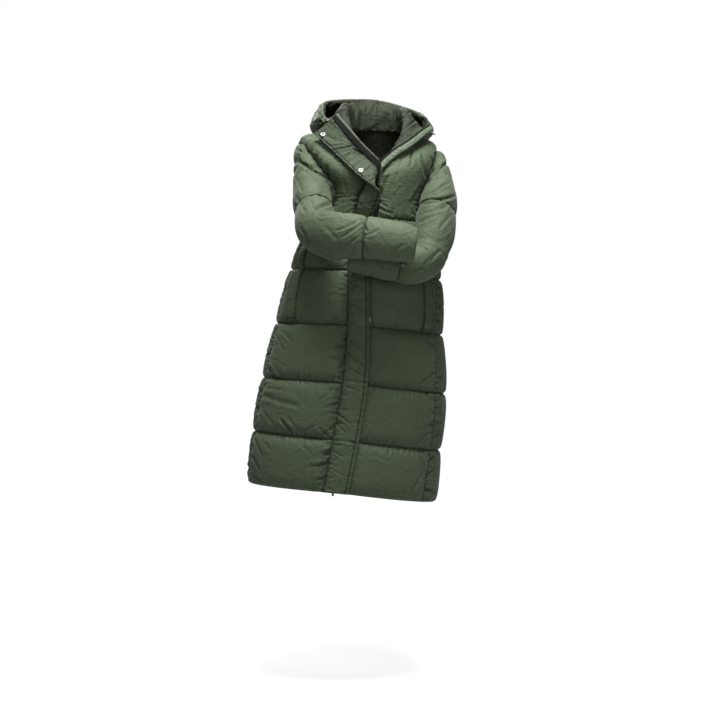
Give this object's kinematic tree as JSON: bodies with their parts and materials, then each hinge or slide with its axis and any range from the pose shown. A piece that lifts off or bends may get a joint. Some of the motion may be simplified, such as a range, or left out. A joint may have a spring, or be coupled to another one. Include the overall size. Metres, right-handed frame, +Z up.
{
  "type": "long puffer coat",
  "caption": "Long hooded down coat in its worn shape, arms folded, zip front with a snap flap turned back at the chest.",
  "frame": {"origin": "where the wearer holds the coat up, between the shoulders at the base of the neck", "axes": "+Z up, -Y is the coat's front, +X is the wearer's left"},
  "size_m": [0.5645, 0.5496, 1.1274],
  "materials": {
    "shell": "matte nylon",
    "lining": "smooth nylon",
    "binding": "smooth nylon",
    "zip_tape": "woven tape",
    "metal": "silver plated",
    "plastic": "satin"
  },
  "bodies": {
    "coat": {"front_right": "shell", "front_left": "shell", "back": "shell", "sleeve_right": "shell", "sleeve_left": "shell", "hood_right": "shell", "hood_centre": "shell", "hood_left": "shell", "hood_lining": "lining", "storm_flap": "shell", "facing_right": "binding", "binding_left": "binding", "pocket_welt_right": "shell", "pocket_welt_left": "shell", "zip_tape_right": "zip_tape", "zip_tape_left": "zip_tape", "slider_upper": "metal", "slider_lower": "metal", "pull_lower": "metal", "snap_top": "metal", "snap_chest": "metal", "snap_waist": "metal", "eyelet_right": "metal", "eyelet_left": "metal", "stopper_right": "plastic", "stopper_left": "plastic"},
    "upper_pull": {"pull_upper": "metal"}
  },
  "joints": [
    {"name": "upper_pull_swing", "type": "hinge", "parent": "coat", "child": "upper_pull", "pos_m": [0.00859, -0.14162, -0.2311], "axis": [-1, 0, 0], "range_deg": [0, 120]}
  ]
}
